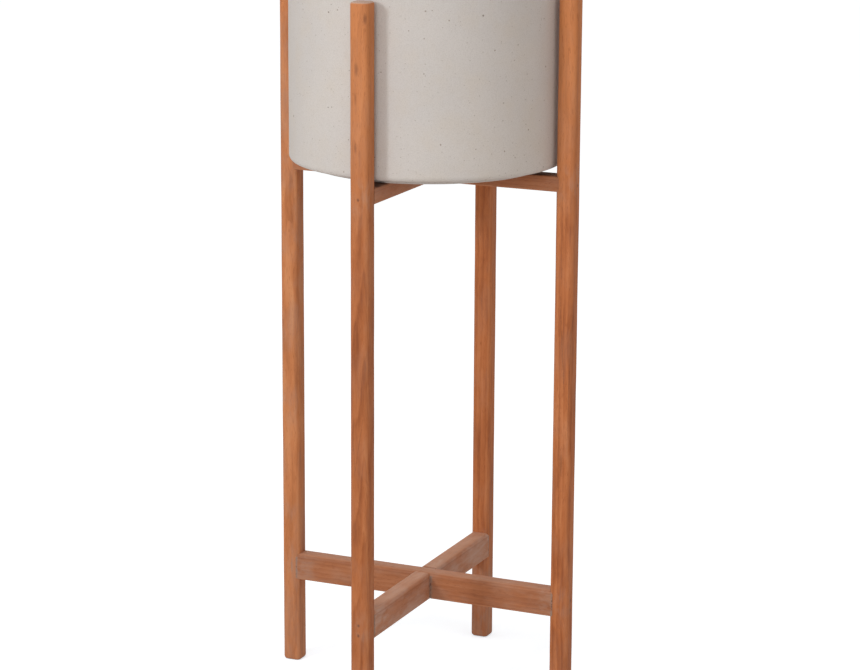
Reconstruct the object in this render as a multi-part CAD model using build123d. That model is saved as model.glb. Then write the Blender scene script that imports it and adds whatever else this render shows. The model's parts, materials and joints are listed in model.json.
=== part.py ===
from build123d import *
import os

# Tall planter: a round pot carried between four square legs by two crossed bars,
# with a second pair of crossed bars near the floor.
# Millimetres, +Z up, origin on the floor under the middle of the pot.
# Front is -Y, right is +X.

# Pot
POT_DIAMETER = 305.0
POT_HEIGHT = 256.5
POT_WALL = 11.0
POT_FLOOR = 13.0
POT_BASE_ROUND = 7.0
POT_RING_SETBACK = 22.5
POT_RING_WIDTH = 12.0
POT_RING_HEIGHT = 4.5
POT_RING_ROUND = 1.5
POT_INNER_ROUND = 8.0
POT_RIM_ROUND = 3.0
POT_LIFT_CLEARANCE = 0.3

# Drain hole in the middle of the pot's floor, with a seat for the flange of its rubber plug
DRAIN_DIAMETER = 22.0
DRAIN_EDGE_CHAMFER = 1.5
PLUG_CLEARANCE = 0.3
PLUG_FLANGE_DIAMETER = 32.0
PLUG_FLANGE_THICKNESS = 3.0
PLUG_FLANGE_CHAMFER = 0.8
PLUG_SUNK_DEPTH = 0.2
PLUG_STEM_INSET = 1.0
PLUG_TIP_CHAMFER = 2.0

# Legs
LEG_WIDTH = 22.0
LEG_LENGTH = 798.0
LEG_EDGE_ROUND = 6.0
LEG_END_CHAMFER = 1.5
POT_TO_LEG_GAP = 3.5

# Crossed bars, each side face stepped in from the legs' faces
BAR_SIDE_STEP = 0.25
LOWER_BAR_BOTTOM = 100.5
LOWER_BAR_HEIGHT = 30.5
UPPER_BAR_BOTTOM = 583.0
UPPER_BAR_HEIGHT = 17.5
LOWER_BAR_TOP_ROUND = 5.0
UPPER_BAR_TOP_ROUND = 3.0
BAR_BOTTOM_ROUND = 1.5
LAP_CLEARANCE = 0.15

# Mortise and tenon at each bar end
TENON_THICKNESS = 11.0
TENON_LENGTH = 12.0
TENON_SHOULDER = 4.5
TENON_END_CHAMFER = 1.0
MORTISE_CLEARANCE = 0.15
MORTISE_END_GAP = 0.5

# Headless brads of flat wire, driven through the leg's outer face into each tenon
BRAD_WIDTH = 2.0
BRAD_THICKNESS = 1.4
BRAD_LENGTH = 28.0
BRAD_SUNK_DEPTH = 0.4
BRAD_HOLE_CLEARANCE = 0.1
LOWER_BRAD_PAIR_SPACING = 11.5
LOWER_BRAD_PAIR_DROP = 2.5
UPPER_BRAD_DROP = 1.75

# Countersunk wood screw up through the middle of each crossing
SCREW_SHANK_DIAMETER = 3.5
SCREW_HEAD_DIAMETER = 7.0
SCREW_HEAD_HEIGHT = 2.4
SCREW_POINT_LENGTH = 4.0
SCREW_TOP_COVER = 3.0
SCREW_SUNK_DEPTH = 0.5
SCREW_SLOT_WIDTH = 1.0
SCREW_SLOT_DEPTH = 0.8
SCREW_HOLE_CLEARANCE = 0.1

# How far a cutting shape runs past the face it cuts
CUT_OVERRUN = 5.0

# Sizes that follow from the ones above
POT_RADIUS = POT_DIAMETER / 2
LEG_HALF = LEG_WIDTH / 2
LEG_CENTRE = POT_RADIUS + POT_TO_LEG_GAP + LEG_HALF
LEG_INNER_FACE = LEG_CENTRE - LEG_HALF
LEG_OUTER_FACE = LEG_CENTRE + LEG_HALF
BAR_WIDTH = LEG_WIDTH - 2 * BAR_SIDE_STEP
UPPER_BAR_TOP = UPPER_BAR_BOTTOM + UPPER_BAR_HEIGHT
POT_BOTTOM = UPPER_BAR_TOP + POT_LIFT_CLEARANCE
POT_BASE = POT_BOTTOM + POT_RING_HEIGHT
POT_FLOOR_TOP = POT_BASE + POT_FLOOR
PLUG_SEAT_HEIGHT = POT_FLOOR_TOP - PLUG_SUNK_DEPTH - PLUG_FLANGE_THICKNESS - PLUG_CLEARANCE
POT_RIM = POT_BOTTOM + POT_HEIGHT
TENON_TIP = LEG_INNER_FACE + TENON_LENGTH
BRAD_HEAD_FACE = LEG_OUTER_FACE - BRAD_SUNK_DEPTH
BRAD_TIP = BRAD_HEAD_FACE - BRAD_LENGTH


def lower_brad_heights():
    """Heights of the two brads in each lower joint."""
    middle = LOWER_BAR_BOTTOM + LOWER_BAR_HEIGHT / 2 - LOWER_BRAD_PAIR_DROP
    return [middle - LOWER_BRAD_PAIR_SPACING / 2, middle + LOWER_BRAD_PAIR_SPACING / 2]


def upper_brad_heights():
    """Height of the single brad in each upper joint."""
    return [UPPER_BAR_BOTTOM + UPPER_BAR_HEIGHT / 2 - UPPER_BRAD_DROP]


def at(x, y, z, shape):
    return Pos(x, y, z) * shape


def flat_wire(start, end, z, spare):
    """A straight piece of brad wire along X, larger all round by spare."""
    wire = Box(end - start, BRAD_THICKNESS + 2 * spare, BRAD_WIDTH + 2 * spare)
    return at((start + end) / 2, 0, z, wire)


# The leg at the +X side, before it is turned to its place
def leg_blank():
    with BuildPart() as blank:
        with BuildSketch(Plane.XY):
            with Locations((LEG_CENTRE, 0)):
                Rectangle(LEG_WIDTH, LEG_WIDTH)
            fillet(vertices(), LEG_EDGE_ROUND)
        extrude(amount=LEG_LENGTH)
        ends = faces().sort_by(Axis.Z)
        chamfer(ends[0].edges() + ends[-1].edges(), LEG_END_CHAMFER)
    return blank.part


def mortise(bar_bottom, bar_height):
    """Blind pocket in the leg's inner face, a clearance larger than the tenon."""
    tall = bar_height - 2 * TENON_SHOULDER + 2 * MORTISE_CLEARANCE
    wide = TENON_THICKNESS + 2 * MORTISE_CLEARANCE
    start = LEG_INNER_FACE - CUT_OVERRUN
    end = TENON_TIP + MORTISE_END_GAP
    pocket = Box(end - start, wide, tall)
    return at((start + end) / 2, 0, bar_bottom + bar_height / 2, pocket)


def brad_hole(z):
    """Hole for one brad, open at the leg's outer face."""
    start = BRAD_TIP - BRAD_HOLE_CLEARANCE
    return flat_wire(start, LEG_OUTER_FACE + CUT_OVERRUN, z, BRAD_HOLE_CLEARANCE)


def brad(z):
    """A headless brad, sunk a little below the leg's outer face."""
    return flat_wire(BRAD_TIP, BRAD_HEAD_FACE, z, 0)


def leg():
    shape = leg_blank()
    shape -= mortise(LOWER_BAR_BOTTOM, LOWER_BAR_HEIGHT)
    shape -= mortise(UPPER_BAR_BOTTOM, UPPER_BAR_HEIGHT)
    for z in lower_brad_heights() + upper_brad_heights():
        shape -= brad_hole(z)
    return shape


# One crossed bar along X, coped to the legs, with a tenon at each end
def bar_stick(bottom, height, top_round):
    """The rounded stick, long enough to lap past the legs' rounded corners."""
    with BuildPart() as stick:
        with BuildSketch(Plane.YZ):
            with Locations((0, bottom + height / 2)):
                Rectangle(BAR_WIDTH, height)
            fillet(vertices().group_by(Axis.Y)[-1], top_round)
            fillet(vertices().group_by(Axis.Y)[0], BAR_BOTTOM_ROUND)
        extrude(amount=LEG_INNER_FACE + LEG_EDGE_ROUND, both=True)
    return stick.part


def tenon(bottom, height):
    """The tenon at the +X end, with its end edges eased."""
    start = LEG_INNER_FACE - LEG_EDGE_ROUND
    tall = height - 2 * TENON_SHOULDER
    block = Box(TENON_TIP - start, TENON_THICKNESS, tall)
    block = chamfer(block.faces().sort_by(Axis.X)[-1].edges(), TENON_END_CHAMFER)
    return at((start + TENON_TIP) / 2, 0, bottom + height / 2, block)


def bar(bottom, height, top_round, brad_heights):
    """A whole bar: coped at both legs, tenoned, and bored for its brads."""
    shape = bar_stick(bottom, height, top_round)
    cope = leg_blank()
    shape -= cope
    shape -= Rot(0, 0, 180) * cope
    ends = [Rot(0, 0, turn) for turn in (0, 180)]
    for end in ends:
        shape += end * tenon(bottom, height)
    for end in ends:
        for z in brad_heights:
            shape -= end * brad_hole(z)
    return shape


def lap_notch(bottom, height, upward):
    """Half of the bar's height taken out over the width of the bar that crosses it."""
    wide = BAR_WIDTH + 2 * LAP_CLEARANCE
    middle = bottom + height / 2
    if upward:
        low, high = middle - LAP_CLEARANCE / 2, bottom + height + CUT_OVERRUN
    else:
        low, high = bottom - CUT_OVERRUN, middle + LAP_CLEARANCE / 2
    return at(0, 0, (low + high) / 2, Box(wide, BAR_WIDTH + 2 * CUT_OVERRUN, high - low))


def lap_screw_sizes(bottom, height):
    """Heights of the screw's head face and tip at one crossing."""
    return bottom + SCREW_SUNK_DEPTH, bottom + height - SCREW_TOP_COVER


def lap_screw_hole(bottom, height):
    head_face, tip = lap_screw_sizes(bottom, height)
    shank = SCREW_SHANK_DIAMETER / 2 + SCREW_HOLE_CLEARANCE
    head = SCREW_HEAD_DIAMETER / 2 + SCREW_HOLE_CLEARANCE
    start = bottom - CUT_OVERRUN
    end = tip + SCREW_HOLE_CLEARANCE
    bore = at(0, 0, (start + end) / 2, Cylinder(shank, end - start))
    mouth = at(0, 0, (start + head_face) / 2, Cylinder(head, head_face - start))
    sink = at(0, 0, head_face + SCREW_HEAD_HEIGHT / 2, Cone(head, shank, SCREW_HEAD_HEIGHT))
    return bore + mouth + sink


def lap_screw(bottom, height):
    """A slotted countersunk screw, head down, in the middle of a crossing."""
    head_face, tip = lap_screw_sizes(bottom, height)
    shank = SCREW_SHANK_DIAMETER / 2
    head = SCREW_HEAD_DIAMETER / 2
    neck = head_face + SCREW_HEAD_HEIGHT
    point_base = tip - SCREW_POINT_LENGTH
    shape = at(0, 0, (head_face + neck) / 2, Cone(head, shank, neck - head_face))
    shape += at(0, 0, (neck + point_base) / 2, Cylinder(shank, point_base - neck))
    shape += at(0, 0, (point_base + tip) / 2, Cone(shank, shank / 4, SCREW_POINT_LENGTH))
    slot = Box(SCREW_HEAD_DIAMETER + CUT_OVERRUN, SCREW_SLOT_WIDTH, 2 * SCREW_SLOT_DEPTH)
    return shape - at(0, 0, head_face, slot)


def crossed_bars(bottom, height, top_round, brad_heights):
    """The side bar, left whole on top, and the front-to-back bar let in under it."""
    blank = bar(bottom, height, top_round, brad_heights)
    hole = lap_screw_hole(bottom, height)
    side = blank - lap_notch(bottom, height, upward=False) - hole
    front_back = Rot(0, 0, 90) * (blank - lap_notch(bottom, height, upward=True)) - hole
    return side, front_back


def pot():
    """The revolved shell: foot ring, rounded base, straight wall, eased rim, drain hole and seat."""
    inner = POT_RADIUS - POT_WALL
    ring_outer = POT_RADIUS - POT_RING_SETBACK
    ring_inner = ring_outer - POT_RING_WIDTH
    hole = DRAIN_DIAMETER / 2
    seat = PLUG_FLANGE_DIAMETER / 2 + PLUG_CLEARANCE
    with BuildPart() as body:
        with BuildSketch(Plane.XZ):
            with BuildLine():
                Polyline(
                    (hole, POT_BASE),
                    (ring_inner, POT_BASE),
                    (ring_inner, POT_BOTTOM),
                    (ring_outer, POT_BOTTOM),
                    (ring_outer, POT_BASE),
                    (POT_RADIUS, POT_BASE),
                    (POT_RADIUS, POT_RIM),
                    (inner, POT_RIM),
                    (inner, POT_FLOOR_TOP),
                    (seat, POT_FLOOR_TOP),
                    (seat, PLUG_SEAT_HEIGHT),
                    (hole, PLUG_SEAT_HEIGHT),
                    close=True,
                )
            make_face()
            corners = vertices().sort_by(Axis.X)
            outer_low, outer_high = corners[-2:].sort_by(Axis.Y)
            inner_low, inner_high = corners[-4:-2].sort_by(Axis.Y)
            ring_edges = corners[-8:-4].sort_by(Axis.Y)[:2]
            fillet(outer_low, POT_BASE_ROUND)
            fillet(ring_edges, POT_RING_ROUND)
            fillet(inner_low, POT_INNER_ROUND)
            fillet([outer_high, inner_high], POT_RIM_ROUND)
            hole_corners = vertices().sort_by(Axis.X)[:2]
            chamfer(hole_corners, DRAIN_EDGE_CHAMFER)
        revolve(axis=Axis.Z)
    return body.part


def drain_plug():
    """A rubber stopper: stem in the drain hole, flange in its seat just below the floor."""
    stem = DRAIN_DIAMETER / 2 - PLUG_CLEARANCE
    flange = PLUG_FLANGE_DIAMETER / 2
    tip = POT_BASE + PLUG_STEM_INSET
    seat = PLUG_SEAT_HEIGHT + PLUG_CLEARANCE
    top = seat + PLUG_FLANGE_THICKNESS
    with BuildPart() as plug:
        with BuildSketch(Plane.XZ):
            with BuildLine():
                Polyline(
                    (0, tip),
                    (stem - PLUG_TIP_CHAMFER, tip),
                    (stem, tip + PLUG_TIP_CHAMFER),
                    (stem, seat),
                    (flange, seat),
                    (flange, top),
                    (0, top),
                    close=True,
                )
            make_face()
            rim = vertices().sort_by(Axis.X)[-2:].sort_by(Axis.Y)[-1]
            chamfer(rim, PLUG_FLANGE_CHAMFER)
        revolve(axis=Axis.Z)
    return plug.part


def group(shapes):
    return Compound(children=list(shapes))


def save(name, shape):
    export_step(shape, f"parts/{name}.step")


def build():
    os.makedirs("parts", exist_ok=True)
    turns = {"right_leg": 0, "back_leg": 90, "left_leg": 180, "front_leg": 270}
    one_leg = leg()
    for name, turn in turns.items():
        save(name, Rot(0, 0, turn) * one_leg)

    lower = (LOWER_BAR_BOTTOM, LOWER_BAR_HEIGHT)
    upper = (UPPER_BAR_BOTTOM, UPPER_BAR_HEIGHT)
    side, front_back = crossed_bars(*lower, LOWER_BAR_TOP_ROUND, lower_brad_heights())
    save("lower_side_bar", side)
    save("lower_front_back_bar", front_back)
    side, front_back = crossed_bars(*upper, UPPER_BAR_TOP_ROUND, upper_brad_heights())
    save("upper_side_bar", side)
    save("upper_front_back_bar", front_back)

    for name, heights in (("lower_brads", lower_brad_heights()), ("upper_brads", upper_brad_heights())):
        brads = [Rot(0, 0, turn) * brad(z) for turn in turns.values() for z in heights]
        save(name, group(brads))
    save("lap_screws", group(lap_screw(*sizes) for sizes in (lower, upper)))

    save("pot", pot())
    save("drain_plug", drain_plug())


build()
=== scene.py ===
"""Dresses the tall planter: its pot, its wooden stand and the studio round them."""
import bpy
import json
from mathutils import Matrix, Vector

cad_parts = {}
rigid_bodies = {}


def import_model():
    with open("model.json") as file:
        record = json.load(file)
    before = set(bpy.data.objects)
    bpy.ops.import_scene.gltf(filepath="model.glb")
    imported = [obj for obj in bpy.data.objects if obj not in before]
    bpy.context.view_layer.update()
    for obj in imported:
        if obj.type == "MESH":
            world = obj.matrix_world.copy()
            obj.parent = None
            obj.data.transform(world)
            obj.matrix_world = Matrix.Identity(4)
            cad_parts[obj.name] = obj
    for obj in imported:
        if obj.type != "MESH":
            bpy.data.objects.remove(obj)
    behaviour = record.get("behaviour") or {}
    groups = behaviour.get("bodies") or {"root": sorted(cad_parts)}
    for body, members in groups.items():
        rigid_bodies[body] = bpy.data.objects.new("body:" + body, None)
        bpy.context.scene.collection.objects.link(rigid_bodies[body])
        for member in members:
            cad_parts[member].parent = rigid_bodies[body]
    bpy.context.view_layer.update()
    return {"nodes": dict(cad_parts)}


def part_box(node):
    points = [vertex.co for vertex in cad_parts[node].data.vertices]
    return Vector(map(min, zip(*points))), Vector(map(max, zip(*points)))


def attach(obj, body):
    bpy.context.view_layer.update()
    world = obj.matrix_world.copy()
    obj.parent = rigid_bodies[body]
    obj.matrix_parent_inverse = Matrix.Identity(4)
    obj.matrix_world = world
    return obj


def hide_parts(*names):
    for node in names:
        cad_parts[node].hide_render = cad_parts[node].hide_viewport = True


for stray in list(bpy.data.objects):
    bpy.data.objects.remove(stray)
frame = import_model()

import json
import logging
import math
from collections.abc import Callable, Sequence
from dataclasses import dataclass, field, replace
from enum import Enum
from typing import NamedTuple

import bmesh
from mathutils import Euler, Matrix, Vector

log = logging.getLogger("planter")

MM = 0.001
PHOTO_WIDTH = 860
SENSOR_WIDTH = 36.0

# Corners nearer than MERGE are one. What is nearer than SLACK to a height or radius is at it.
MERGE = 0.01 * MM
SLACK = 0.2 * MM

# A level face's normal rises or falls by more than LEVEL. ROUND is a true round's profile.
LEVEL = 0.9
ROUND = 0.5

# A colour Mix node's sockets, by number.
MIX_SHARE, MIX_FIRST, MIX_SECOND, MIX_RESULT = 0, 6, 7, 2

# The middle of a noise or a ramp, and a wave texture's radians a metre at a scale of 1.
MIDDLE = 0.5
WAVE_RADIANS = 20

Colour = tuple[float, float, float]
Place = tuple[float, float, float]
Span = tuple[float, float]
Socket = bpy.types.NodeSocket
Piece = bpy.types.Object


def paint(red: int, green: int, blue: int) -> Colour:
    """A screen colour as linear light, by the sRGB curve.

    Args:
        red, green, blue: the colour as it looks on screen, 0 to 255.

    Returns:
        The same colour in linear values from 0 to 1.
    """
    white, knee, slope, lift, power = 255, 0.04045, 12.92, 0.055, 2.4

    def one(value: int) -> float:
        """One channel, from screen to linear."""
        share = value / white
        return share / slope if share <= knee else ((share + lift) / (1 + lift)) ** power

    return one(red), one(green), one(blue)


class Grain(Enum):
    """The way a stick's grain runs, as the turn that stands it upright."""

    UPRIGHT = (0.0, 0.0, 0.0)
    SIDEWAYS = (0.0, -math.pi / 2, 0.0)
    FRONT_TO_BACK = (math.pi / 2, 0.0, 0.0)


class Tone(Enum):
    """What a mark in the wood looks like, by its name among the wood's tones."""

    KNOT = "knot"
    FILLER = "filler"


class Part(Enum):
    """What a tool picks on a mesh: Blender's select mode, and where the mesh keeps it."""

    EDGE = "edges"
    FACE = "faces"


@dataclass(frozen=True)
class Pattern:
    """A cloudy noise: how many cells it has in a metre, its detail and its roughness.

    Three numbers of cells, across, deep and along the grain, draw it out that way.
    """

    cells: float | Place
    detail: float = 3.0
    rough: float = 0.6


@dataclass(frozen=True)
class Fade:
    """A smooth step: as a value goes from low to high, it goes from start to end."""

    low: float
    high: float
    start: float = 0.0
    end: float = 1.0

    def to(self, end: float) -> "Fade":
        """The same fade with another end."""
        return replace(self, end=end)


class Graph:
    """A node tree, built from left to right."""

    def __init__(self, owner: bpy.types.Material | bpy.types.World) -> None:
        """Empties the node tree of a new material or world."""
        owner.use_nodes = True
        self.owner = owner
        self.tree = owner.node_tree
        self.tree.nodes.clear()

    def add(self, kind: str, inputs: dict | None = None, **settings: object) -> bpy.types.Node:
        """Adds a node.

        Args:
            kind: the node's type without its ShaderNode prefix.
            inputs: values or sockets, by the input's name or number.
            settings: the node's own properties.

        Returns:
            The new node.
        """
        node = self.tree.nodes.new("ShaderNode" + kind)
        for name, value in settings.items():
            setattr(node, name, value)
        for name, value in (inputs or {}).items():
            if isinstance(value, Socket):
                self.tree.links.new(value, node.inputs[name])
            else:
                node.inputs[name].default_value = value
        return node

    def math(self, operation: str, first: object, second: object = 0.0) -> Socket:
        """The result of a Math node on two values or sockets."""
        return self.add("Math", {0: first, 1: second}, operation=operation).outputs[0]

    def gap(self, first: object, second: object) -> Socket:
        """How far apart two values are."""
        return self.math("ABSOLUTE", self.math("SUBTRACT", first, second))

    def vector(self, operation: str, first: object, second: object = (0, 0, 0)) -> Socket:
        """The vector that a Vector Math node makes of two vectors or sockets."""
        return self.add("VectorMath", {0: first, 1: second}, operation=operation).outputs[0]

    def measure(self, operation: str, first: object, second: object = (0, 0, 0)) -> Socket:
        """The number that a Vector Math node makes of two vectors or sockets."""
        node = self.add("VectorMath", {0: first, 1: second}, operation=operation)
        return node.outputs["Value"]

    def split(self, place: Socket) -> Sequence[Socket]:
        """The three numbers of a place."""
        return self.add("SeparateXYZ", {0: place}).outputs

    def noise(self, place: Socket, pattern: Pattern) -> Socket:
        """Reads a pattern.

        Args:
            place: where to read it, in metres.
            pattern: the noise to read.

        Returns:
            Its value there, from 0 to 1.
        """
        cells = pattern.cells
        if isinstance(cells, tuple):
            place, cells = self.vector("MULTIPLY", place, cells), 1.0
        inputs = {"Vector": place, "Scale": cells}
        inputs |= {"Detail": pattern.detail, "Roughness": pattern.rough}
        return self.add("TexNoise", inputs).outputs["Fac"]

    def smooth(self, value: Socket, fade: Fade) -> Socket:
        """A value after a smooth step."""
        inputs = {"Value": value, "From Min": fade.low, "From Max": fade.high}
        inputs |= {"To Min": fade.start, "To Max": fade.end}
        return self.add("MapRange", inputs, interpolation_type="SMOOTHSTEP").outputs["Result"]

    def mix(self, share: Socket, first: Socket | Colour, second: Socket | Colour) -> Socket:
        """Lays one colour over another.

        Args:
            share: how much of the second colour covers the first, from 0 to 1.
            first, second: the two colours.

        Returns:
            The mixed colour.
        """
        node = self.add("Mix", {MIX_SHARE: share}, data_type="RGBA")
        for number, value in ((MIX_FIRST, first), (MIX_SECOND, second)):
            if isinstance(value, Socket):
                self.tree.links.new(value, node.inputs[number])
            else:
                node.inputs[number].default_value = (*value, 1.0)
        return node.outputs[MIX_RESULT]

    def ramp(self, value: Socket, stops: Sequence[tuple[float, Colour]]) -> Socket:
        """Turns a value into a colour.

        Args:
            value: a number from 0 to 1.
            stops: values and the colours that they have.

        Returns:
            The value's colour.
        """
        node = self.add("ValToRGB", {0: value})
        elements = node.color_ramp.elements
        while len(elements) < len(stops):
            elements.new(MIDDLE)
        for element, (place, colour) in zip(elements, stops):
            element.position = place
            element.color = (*colour, 1.0)
        return node.outputs[0]

    def bump(self, height: Socket, relief: Span) -> Socket:
        """The normal over a height, by the relief's strength and its depth in metres."""
        inputs = {"Strength": relief[0], "Distance": relief[1], "Height": height}
        return self.add("Bump", inputs).outputs[0]

    def finish(self, shader: bpy.types.Node, output: str = "OutputMaterial") -> bpy.types.ID:
        """Joins the last shader to a new output, and gives the tree's owner back."""
        self.add(output, {"Surface": shader.outputs[0]})
        return self.owner


@dataclass(frozen=True)
class WoodTones:
    """The colours of one stick of oiled hardwood, from its grain lines to its sanded face."""

    dark: Colour = paint(148, 78, 38)
    middle: Colour = paint(184, 106, 58)
    pale: Colour = paint(202, 126, 78)
    end_grain: Colour = paint(200, 172, 154)
    knot: Colour = paint(98, 54, 34)
    seam: Colour = paint(84, 68, 60)
    filler: Colour = paint(148, 124, 110)
    dust: Colour = paint(172, 136, 116)
    rubbed: Colour = paint(206, 140, 98)
    # The top face of a level bar: paler, partly dust and partly painted sheen from light above;
    # the upper bars swap in painted shade.
    top_dust_and_painted_light: Colour = paint(208, 156, 126)
    # A paler tone towards the top of a leg.
    upper_pale: Colour = paint(214, 138, 84)


@dataclass(frozen=True)
class WoodPatterns:
    """The noises that every stick's finish is mixed from."""

    swirl: Pattern = Pattern((40, 40, 14), 2.0, 0.5)
    broad: Pattern = Pattern((95, 95, 11))
    streak: Pattern = Pattern((420, 420, 26), 4.0)
    fibre: Pattern = Pattern((1900, 1900, 120))
    pores: Pattern = Pattern((1500, 1500, 120), 1.0, 0.4)
    patches: Pattern = Pattern((52, 52, 20), 3.0, 0.55)
    smears: Pattern = Pattern((120, 120, 60))
    rubs: Pattern = Pattern((150, 150, 40))
    ragged: Pattern = Pattern(500.0, 2.0, 0.5)
    uneven: Pattern = Pattern(60.0, 3.0, 0.5)
    crumbs: Pattern = Pattern(260.0)
    end_pores: Pattern = Pattern(2100.0, 2.0, 0.5)


@dataclass(frozen=True)
class WoodFades:
    """How those noises, and the distance from a line or seam, become each effect's share."""

    late_wood: Fade = Fade(0.8, 1.0)
    pores: Fade = Fade(0.62, 0.68)
    patches: Fade = Fade(0.4, 0.66)
    joint_smears: Fade = Fade(0.36, 0.66)
    foot_smears: Fade = Fade(0.3, 0.6, 0.45, 1.0)
    streaks: Fade = Fade(0.3, 0.6, 1.0)
    uneven: Fade = Fade(0.3, 0.6, 0.7, 1.0)
    # A painted shade line under a bar's top round.
    painted_shade_line: Fade = Fade(0.3 * MM, 1.3 * MM, 0.3, 0.0)
    rubs: Fade = Fade(0.35, 0.6, 0.3, 1.0)
    filler_crumbs: Fade = Fade(0.35, 0.6, 0.15, 0.8)
    seam_crumbs: Fade = Fade(0.36, 0.48, 0.75, 0.0)
    filler: Fade = Fade(0.8 * MM, 3.2 * MM, 1.0, 0.0)
    seam: Fade = Fade(0.5 * MM, 1.1 * MM, 1.0, 0.0)
    end_pores: Fade = Fade(0.54, 0.66, 0.0, 0.55)
    end_rings: Fade = Fade(0.2, 0.95, 0.0, 0.3)
    roughness: Fade = Fade(0.3, 0.7, 0.52, 0.66)


@dataclass(frozen=True)
class Mark:
    """A small mark in the wood, drawn out along the grain, in one of the wood's tones.

    Its lean is how far it drifts across and deep for each metre along the grain.
    """

    place: Place
    radius: float
    depth: float
    stretch: float = 2.5
    tone: Tone = Tone.KNOT
    lean: Span = (0.0, 0.0)


class Figure(NamedTuple):
    """What a stick's grain is made of, each part from 0 to 1."""

    tone: Socket
    streak: Socket
    pores: Socket
    rings: Socket


@dataclass(frozen=True)
class WoodFinish:
    """An oiled stick of wood: grain lines, pores, knots, sanded edges and dusty joints.

    Every place in it is the stick's own: across, deep and along the grain, from its middle.
    """

    name: str
    grain: Grain
    centre: Place
    length: float
    half_sizes: Span
    seed: float
    tones: WoodTones = WoodTones()
    patterns: WoodPatterns = WoodPatterns()
    fades: WoodFades = WoodFades()
    dust_share: float = 0.16
    joint_dust: float = 0.4
    foot_dust: float = 0.0
    edge_wear: float = 0.18
    edge_reach: Span = (-5.4 * MM, -3.4 * MM)
    # How much paler the upper part of a leg is.
    upper_pale_share: float = 0.0
    # How much of the top face's dust and painted light covers it.
    top_painted_light_share: float = 0.0
    joints: tuple[float, ...] = ()
    seams: tuple[float, ...] = ()
    marks: tuple[Mark, ...] = ()
    contrast: float = 0.85
    late_wood: float = 0.05
    heart: Span = (-0.021, 0.006)
    ring_spacing: float = 4.2 * MM
    ring_tilt: float = math.radians(1.6)
    joint_reach: float = 30 * MM
    shade: float = 1.0

    # How far the seed moves the noises, how it tilts the rings, and how far the swirl bends it.
    seed_steps: Place = (1.0, 0.7, 1.3)
    seed_turn: float = 5.0
    side_tilt: float = 0.3
    wander: float = 12 * MM

    # The rings' stretch and waviness, the weights in the tone of the broad noise, streaks,
    # fibres and rings, and where the dark, middle and pale colours stand in it.
    ring_stretch: Place = (1.0, 1.0, 0.25)
    ring_wave: tuple[float, float, float, float] = (3.4, 2.0, 0.6, 0.5)
    weights: tuple[float, float, float, float] = (0.6, 0.12, 0.14, 0.14)
    stops: Place = (0.33, 0.5, 0.68)

    # How far the streaks part the dust, how dark and deep the pores are, and the surface.
    streak_cover: float = 0.45
    pore_tone: float = 0.45
    pore_hollow: float = 0.6
    relief: Span = (0.35, 0.25 * MM)
    specular: float = 0.25

    # Where fades run: in shares of a mark's radius, of the dusty reach, of the half width and
    # of the length, or in metres from an end or the top.
    mark_reach: Span = (0.5, 1.7)
    mark_rags: float = 1.2 * MM
    joint_core: float = 0.25
    foot_reach: Span = (60 * MM, 125 * MM)
    top_reach: Span = (1.6 * MM, 0.3 * MM)
    painted_shade_drop: float = 4.4 * MM
    face_reach: Span = (0.96, 0.995)
    end_reach: Span = (1.9 * MM, 0.5 * MM)
    upper_pale_reach: Span = (0.1, 0.42)

    def place(self, graph: Graph) -> Socket:
        """Reads the stick's own coordinates.

        Args:
            graph: the nodes.

        Returns:
            Each point's place, in metres.
        """
        start = Euler(self.grain.value).to_matrix() @ -Vector(self.centre)
        coords = graph.add("TexCoord").outputs["Object"]
        inputs = {"Vector": coords, "Location": start, "Rotation": self.grain.value}
        return graph.add("Mapping", inputs).outputs[0]

    def rings(self, graph: Graph, place: Socket) -> Socket:
        """Makes the year rings round the board's heart.

        Args:
            graph: the nodes.
            place: each point's place.

        Returns:
            The rings, each a slope from 0 to 1.
        """
        turn = self.side_tilt * self.ring_tilt * math.sin(self.seed * self.seed_turn)
        tilt = {
            "Vector": place,
            "Location": (-self.heart[0], -self.heart[1], 0.0),
            "Rotation": (self.ring_tilt, turn, 0.0),
            "Scale": self.ring_stretch,
        }
        inputs = {
            "Vector": graph.add("Mapping", tilt).outputs[0],
            "Scale": math.tau / (WAVE_RADIANS * self.ring_spacing),
        }
        names = ("Distortion", "Detail", "Detail Scale", "Detail Roughness")
        inputs |= zip(names, self.ring_wave)
        kinds = {"wave_type": "RINGS", "rings_direction": "Z", "wave_profile": "SAW"}
        return graph.add("TexWave", inputs, **kinds).outputs["Fac"]

    def figure(self, graph: Graph, place: Socket) -> Figure:
        """Mixes the grain from its noises and rings.

        Args:
            graph: the nodes.
            place: each point's place.

        Returns:
            The parts of the grain.
        """
        patterns, fades = self.patterns, self.fades
        shifted = graph.vector("ADD", place, tuple(self.seed * step for step in self.seed_steps))
        swirl = graph.math("SUBTRACT", graph.noise(shifted, patterns.swirl), MIDDLE)
        wander = graph.math("MULTIPLY", swirl, self.wander)
        drift = graph.add("CombineXYZ", {0: wander, 1: wander}).outputs[0]
        shifted = graph.vector("ADD", shifted, drift)
        broad = graph.noise(shifted, patterns.broad)
        streak = graph.noise(shifted, patterns.streak)
        fibre = graph.noise(shifted, patterns.fibre)
        rings = self.rings(graph, place)
        tone = graph.math("MULTIPLY", broad, self.weights[0])
        for part, weight in zip((streak, fibre, rings), self.weights[1:]):
            tone = graph.math("ADD", tone, graph.math("MULTIPLY", part, weight))
        tone = graph.math("MULTIPLY", tone, self.contrast)
        tone = graph.math("ADD", tone, MIDDLE * (1 - self.contrast))
        late = graph.smooth(rings, fades.late_wood.to(self.late_wood))
        tone = graph.math("SUBTRACT", tone, late)
        pores = graph.smooth(graph.noise(shifted, patterns.pores), fades.pores)
        return Figure(tone, streak, pores, rings)

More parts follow.
